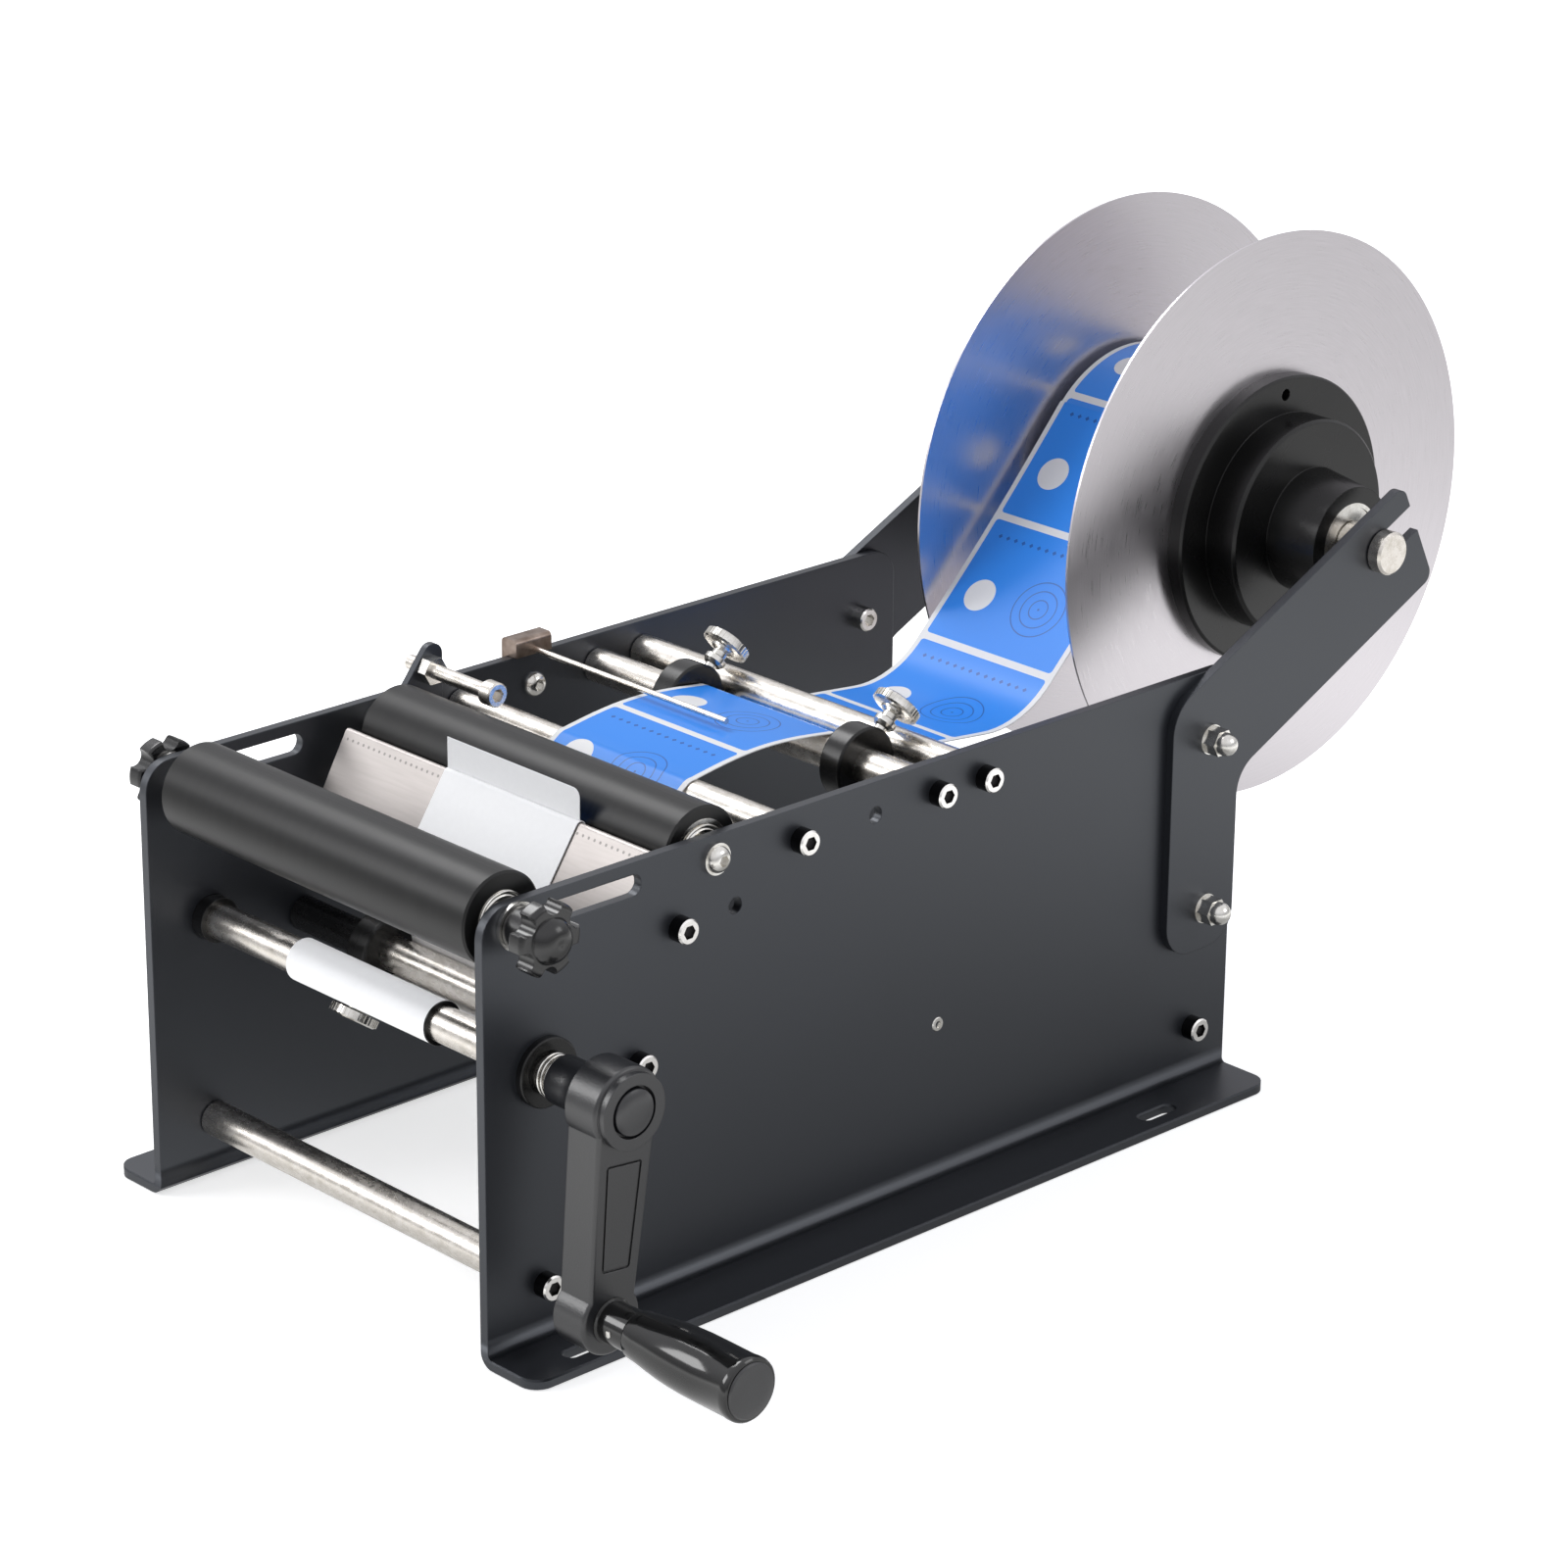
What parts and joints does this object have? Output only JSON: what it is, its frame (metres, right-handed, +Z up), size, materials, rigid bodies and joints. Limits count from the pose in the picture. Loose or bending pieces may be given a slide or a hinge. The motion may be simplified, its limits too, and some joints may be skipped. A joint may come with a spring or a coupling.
{
  "type": "bottle labelling machine",
  "caption": "Bench top hand cranked bottle labeller: two side plates, two bottle rollers, a peel plate, a liner take up crank and a label reel on two arms.",
  "frame": {"origin": "middle of the floor rectangle under the whole machine, at the height of the flange undersides", "axes": "+X from the left plate to the crank grip, +Y from the front roller to the label reel, +Z up"},
  "size_m": [0.345, 0.5966, 0.328],
  "materials": {
    "black_powder_coat": "fine textured black powder coat",
    "brushed_sheet": "brushed stainless sheet",
    "bright_rod": "drawn and polished steel bar",
    "chrome_fastener": "bright plated steel",
    "black_anodised": "matte black turned metal",
    "brass_block": "bronze toned block",
    "black_sleeve": "satin black roller sleeve",
    "black_plastic": "moulded black plastic",
    "gloss_black": "glossy black grip",
    "liner_paper": "white liner paper",
    "label_blue": "blue printed label",
    "card": "brown card tube"
  },
  "bodies": {
    "frame": {"side_plate_right": "black_powder_coat", "side_plate_left": "black_powder_coat", "reel_arm_right": "black_powder_coat", "reel_arm_left": "black_powder_coat", "arm_screws": "chrome_fastener", "arm_cap_nuts": "chrome_fastener", "washers_and_spacers": "chrome_fastener", "front_tie_rod": "bright_rod", "rear_tie_rod": "bright_rod", "liner_guide_rod": "bright_rod", "peel_plate_rod": "bright_rod", "front_web_rod": "bright_rod", "collar_rod": "bright_rod", "rear_web_rod": "bright_rod", "rod_screws": "chrome_fastener", "peel_plate": "brushed_sheet", "peel_plate_saddles": "black_anodised", "rear_roller_axle": "bright_rod", "rear_axle_screws": "chrome_fastener", "stop_bracket": "black_powder_coat", "bracket_fasteners": "chrome_fastener", "wire_bracket": "brass_block", "tension_wire": "bright_rod", "takeup_bushes": "black_plastic", "label_web": "label_blue"},
    "rear_roller": {"rear_roller_sleeve": "black_sleeve", "rear_roller_bearings": "chrome_fastener"},
    "front_carriage": {"front_roller_axle": "bright_rod", "front_axle_spacers": "chrome_fastener"},
    "front_roller": {"front_roller_sleeve": "black_sleeve", "front_roller_bearings": "chrome_fastener"},
    "right_knob": {"star_knob_right": "black_plastic"},
    "left_knob": {"star_knob_left": "black_plastic"},
    "crank": {"takeup_shaft": "bright_rod", "crank_arm": "black_plastic", "crank_cap": "black_plastic", "crank_spring": "chrome_fastener", "grip_spindle": "bright_rod", "crank_locks": "chrome_fastener", "liner_roll": "liner_paper"},
    "crank_grip": {"grip": "gloss_black", "grip_end_cap": "gloss_black"},
    "reel_axle": {"reel_shaft": "bright_rod", "reel_shaft_fittings": "bright_rod"},
    "reel": {"reel_disc_right": "brushed_sheet", "reel_disc_left": "brushed_sheet", "hub_right": "black_anodised", "hub_left": "black_anodised", "hub_bearings": "chrome_fastener", "label_core": "card", "label_roll": "label_blue"},
    "web_collar_r": {"web_collar_right": "black_anodised"},
    "web_collar_l": {"web_collar_left": "black_anodised"},
    "liner_collar_r": {"liner_collar_right": "black_anodised"},
    "liner_collar_l": {"liner_collar_left": "black_anodised"},
    "web_screw_r": {"web_thumbscrew_right": "chrome_fastener"},
    "web_screw_l": {"web_thumbscrew_left": "chrome_fastener"},
    "liner_screw_r": {"liner_thumbscrew_right": "chrome_fastener"},
    "liner_screw_l": {"liner_thumbscrew_left": "chrome_fastener"},
    "stop": {"stop_screw": "chrome_fastener"}
  },
  "joints": [
    {"name": "front_slide", "type": "slide", "parent": "frame", "child": "front_carriage", "axis": [0, 1, 0], "range_m": [0, 0.046]},
    {"name": "front_roller_spin", "type": "hinge", "parent": "front_carriage", "child": "front_roller", "pos_m": [-0.0465, -0.28035, 0.1695], "axis": [1, 0, 0], "continuous": true},
    {"name": "right_knob_turn", "type": "hinge", "parent": "front_carriage", "child": "right_knob", "pos_m": [0.0635, -0.28035, 0.1695], "axis": [1, 0, 0], "range_deg": [0, 360]},
    {"name": "left_knob_turn", "type": "hinge", "parent": "front_carriage", "child": "left_knob", "pos_m": [-0.1565, -0.28035, 0.1695], "axis": [1, 0, 0], "range_deg": [-360, 0]},
    {"name": "rear_roller_spin", "type": "hinge", "parent": "frame", "child": "rear_roller", "pos_m": [-0.0465, -0.18505, 0.1695], "axis": [1, 0, 0], "continuous": true},
    {"name": "crank_turn", "type": "hinge", "parent": "frame", "child": "crank", "pos_m": [-0.0465, -0.26785, 0.1098], "axis": [1, 0, 0], "continuous": true},
    {"name": "grip_spin", "type": "hinge", "parent": "crank", "child": "crank_grip", "pos_m": [0.1335, -0.27663, 0.03028], "axis": [1, 0, 0], "continuous": true},
    {"name": "reel_lift", "type": "slide", "parent": "frame", "child": "reel_axle", "axis": [0, 0.8988, 0.4384], "range_m": [0, 0.03]},
    {"name": "reel_spin", "type": "hinge", "parent": "reel_axle", "child": "reel", "pos_m": [-0.0465, 0.17835, 0.208], "axis": [1, 0, 0], "continuous": true},
    {"name": "web_collar_right_slide", "type": "slide", "parent": "frame", "child": "web_collar_r", "axis": [1, 0, 0], "range_m": [0, 0.03]},
    {"name": "web_collar_left_slide", "type": "slide", "parent": "frame", "child": "web_collar_l", "axis": [-1, 0, 0], "range_m": [0, 0.0441]},
    {"name": "liner_collar_right_slide", "type": "slide", "parent": "frame", "child": "liner_collar_r", "axis": [1, 0, 0], "range_m": [0, 0.0335]},
    {"name": "liner_collar_left_slide", "type": "slide", "parent": "frame", "child": "liner_collar_l", "axis": [-1, 0, 0], "range_m": [0, 0.04]},
    {"name": "web_screw_right_turn", "type": "hinge", "parent": "web_collar_r", "child": "web_screw_r", "pos_m": [0.009, -0.0537, 0.17964], "axis": [0, 0.766, 0.6428], "range_deg": [0, 360]},
    {"name": "web_screw_left_turn", "type": "hinge", "parent": "web_collar_l", "child": "web_screw_l", "pos_m": [-0.0879, -0.0537, 0.17964], "axis": [0, 0.766, 0.6428], "range_deg": [0, 360]},
    {"name": "liner_screw_right_turn", "type": "hinge", "parent": "liner_collar_r", "child": "liner_screw_r", "pos_m": [0.0055, -0.23567, 0.08098], "axis": [0, -0.5736, -0.8192], "range_deg": [0, 360]},
    {"name": "liner_screw_left_turn", "type": "hinge", "parent": "liner_collar_l", "child": "liner_screw_l", "pos_m": [-0.092, -0.23567, 0.08098], "axis": [0, -0.5736, -0.8192], "range_deg": [0, 360]},
    {"name": "stop_screw_slide", "type": "slide", "parent": "frame", "child": "stop", "axis": [1, 0, 0], "range_m": [-0.028, 0.005]}
  ]
}
